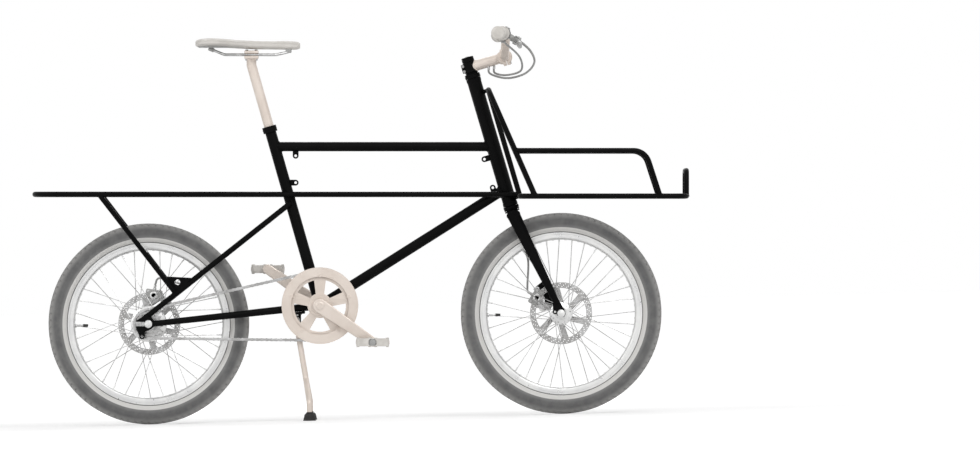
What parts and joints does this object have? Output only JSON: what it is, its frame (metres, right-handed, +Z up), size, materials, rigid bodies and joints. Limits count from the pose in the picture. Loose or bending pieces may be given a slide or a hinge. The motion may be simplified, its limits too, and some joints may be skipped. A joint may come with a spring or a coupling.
{
  "type": "cargo bike",
  "caption": "Compact cargo bike with small wheels, a railed load deck over the front wheel, a flat rack over the rear wheel and a centre stand.",
  "frame": {"origin": "on the floor under the middle of the bike's bounding box", "axes": "+X forward, +Y to the rider's left, +Z up"},
  "size_m": [1.6854, 0.6308, 0.9977],
  "materials": {
    "black_paint": "satin black paint",
    "tyre_rubber": "matt grey rubber",
    "pale_alloy": "pale champagne anodised",
    "silver": "satin silver",
    "steel": "bright steel",
    "pale_rubber": "matt pale grey",
    "grey_plastic": "matt grey",
    "saddle_cover": "soft grained cover, warm grey",
    "black_rubber": "matt black"
  },
  "bodies": {
    "frame": {"head_tube": "black_paint", "upper_headset_cup": "black_paint", "lower_headset_cup": "black_paint", "seat_tube": "black_paint", "bottom_bracket": "pale_alloy", "top_tube": "black_paint", "down_tube": "black_paint", "left_chainstay": "black_paint", "right_chainstay": "black_paint", "left_seatstay": "black_paint", "right_seatstay": "black_paint", "rear_rack": "black_paint", "left_side_rail": "black_paint", "right_side_rail": "black_paint", "left_rack_strut": "black_paint", "right_rack_strut": "black_paint", "front_deck": "black_paint", "backrest": "black_paint", "left_deck_rail": "black_paint", "right_deck_rail": "black_paint", "rear_axle": "silver", "seat_clamp": "black_paint", "stand_bracket": "black_paint", "rear_caliper": "grey_plastic", "rear_caliper_hose": "grey_plastic", "chain": "steel"},
    "steering": {"fork_crown": "black_paint", "left_fork_blade": "black_paint", "right_fork_blade": "black_paint", "stem": "pale_alloy", "handlebar": "pale_alloy", "left_grip": "pale_rubber", "right_grip": "pale_rubber", "left_lever_mount": "grey_plastic", "right_lever_mount": "grey_plastic", "left_brake_hose": "grey_plastic", "right_brake_hose": "grey_plastic", "gear_cable": "grey_plastic", "front_caliper_hose": "grey_plastic", "front_caliper": "grey_plastic", "front_axle": "silver"},
    "left_lever": {"left_brake_lever": "grey_plastic"},
    "right_lever": {"right_brake_lever": "grey_plastic"},
    "shifter": {"twist_shifter": "black_rubber"},
    "front_wheel": {"front_tyre": "tyre_rubber", "front_rim": "silver", "front_hub": "silver", "front_rotor": "steel"},
    "rear_wheel": {"rear_tyre": "tyre_rubber", "rear_rim": "silver", "rear_hub": "silver", "rear_rotor": "steel"},
    "crank": {"chainring": "pale_alloy", "cranks": "pale_alloy"},
    "left_pedal_body": {"left_pedal": "pale_rubber"},
    "right_pedal_body": {"right_pedal": "pale_rubber"},
    "seat": {"seatpost": "pale_alloy", "saddle_rails": "steel", "saddle": "saddle_cover"},
    "stand": {"centre_stand": "pale_alloy"}
  },
  "joints": [
    {"name": "steering", "type": "hinge", "parent": "frame", "child": "steering", "pos_m": [0.38698, 0, 0.52631], "axis": [-0.2574, 0, 0.9663], "range_deg": [-60, 60]},
    {"name": "front_wheel_spin", "type": "hinge", "parent": "steering", "child": "front_wheel", "pos_m": [0.50637, 0, 0.258], "axis": [0, 1, 0], "continuous": true},
    {"name": "rear_wheel_spin", "type": "hinge", "parent": "frame", "child": "rear_wheel", "pos_m": [-0.55363, 0, 0.258], "axis": [0, 1, 0], "continuous": true},
    {"name": "crank_spin", "type": "hinge", "parent": "frame", "child": "crank", "pos_m": [-0.11236, 0, 0.29367], "axis": [0, 1, 0], "continuous": true},
    {"name": "left_pedal_spin", "type": "hinge", "parent": "crank", "child": "left_pedal_body", "pos_m": [-0.2459, 0, 0.39059], "axis": [0, 1, 0], "continuous": true},
    {"name": "right_pedal_spin", "type": "hinge", "parent": "crank", "child": "right_pedal_body", "pos_m": [0.02117, 0, 0.19675], "axis": [0, 1, 0], "continuous": true},
    {"name": "left_lever_pull", "type": "hinge", "parent": "steering", "child": "left_lever", "pos_m": [0.40794, 0.15304, 0.96198], "axis": [0.4914, 0.0487, 0.8696], "range_deg": [0, 14], "stiffness_Nm_per_rad": 0.8},
    {"name": "right_lever_pull", "type": "hinge", "parent": "steering", "child": "right_lever", "pos_m": [0.40794, -0.15304, 0.96198], "axis": [-0.4914, 0.0487, -0.8696], "range_deg": [0, 14], "stiffness_Nm_per_rad": 0.8},
    {"name": "shifter_twist", "type": "hinge", "parent": "steering", "child": "shifter", "pos_m": [0.37645, -0.17, 0.97883], "axis": [-0.1034, -0.9946, 0.0027], "range_deg": [0, 150]},
    {"name": "seat_height", "type": "slide", "parent": "frame", "child": "seat", "axis": [-0.2498, 0, 0.9683], "range_m": [-0.08, 0.08]},
    {"name": "stand_fold", "type": "hinge", "parent": "frame", "child": "stand", "pos_m": [-0.17532, 0, 0.25727], "axis": [0, 1, 0], "range_deg": [0, 70]}
  ],
  "couplings": [
    {"joint": "crank_spin", "follows": "rear_wheel_spin", "ratio": 0.40909}
  ]
}
